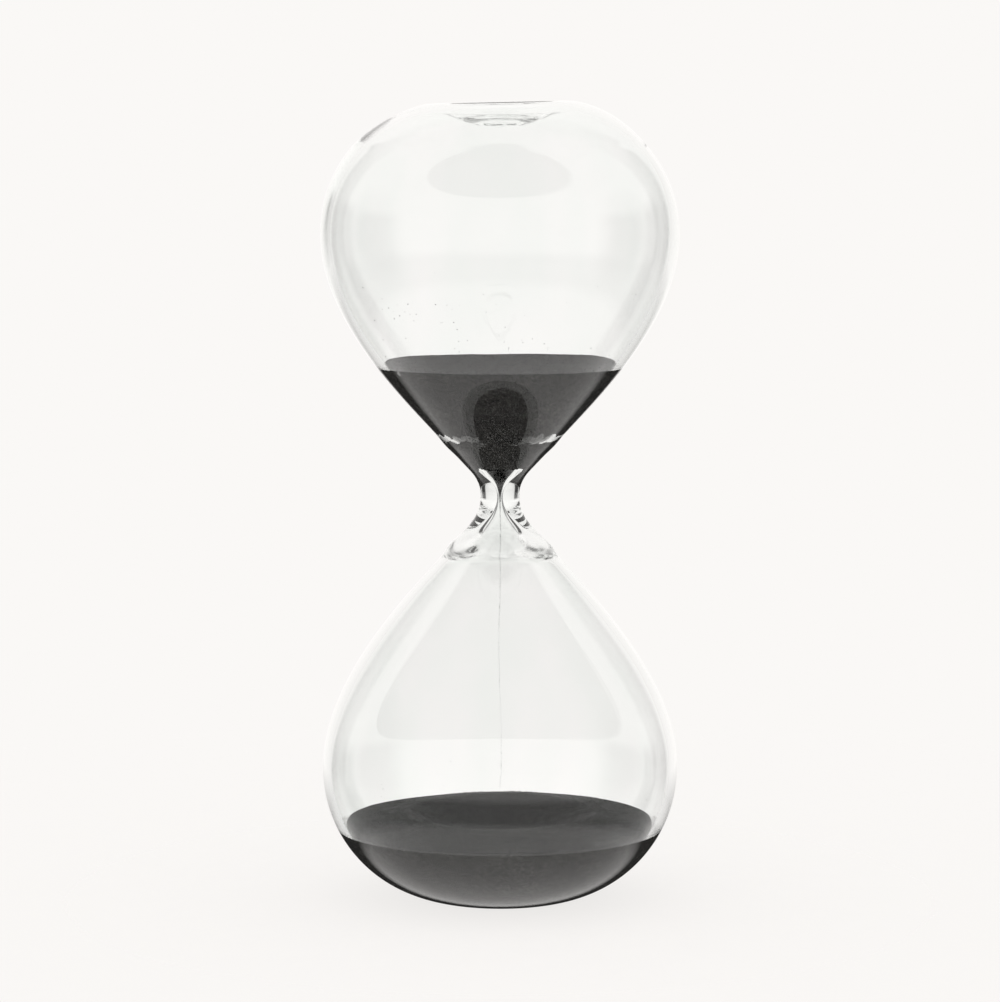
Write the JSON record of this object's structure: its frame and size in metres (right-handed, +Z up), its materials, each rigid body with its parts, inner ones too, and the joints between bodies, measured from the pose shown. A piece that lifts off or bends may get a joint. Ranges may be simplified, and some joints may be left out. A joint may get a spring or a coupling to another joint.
{
  "type": "hourglass",
  "caption": "Frameless blown-glass hourglass: two pear-shaped bulbs joined at a fine-bored waist, with dark sand running from the upper bulb to the lower.",
  "frame": {"origin": "on the axis, in the plane of the lower foot ring", "axes": "+Z up along the axis, from the lower bulb to the upper bulb"},
  "size_m": [0.1008, 0.1008, 0.225],
  "materials": {
    "blown_glass": "clear fire-polished borosilicate glass",
    "dark_sand": "fine dry matte mineral sand"
  },
  "bodies": {
    "root": {"upper_bulb": "blown_glass", "lower_bulb": "blown_glass", "throat": "blown_glass", "upper_end_seal": "blown_glass", "lower_end_seal": "blown_glass", "upper_sand": "dark_sand", "sand_stream": "dark_sand", "lower_sand": "dark_sand"}
  },
  "joints": []
}
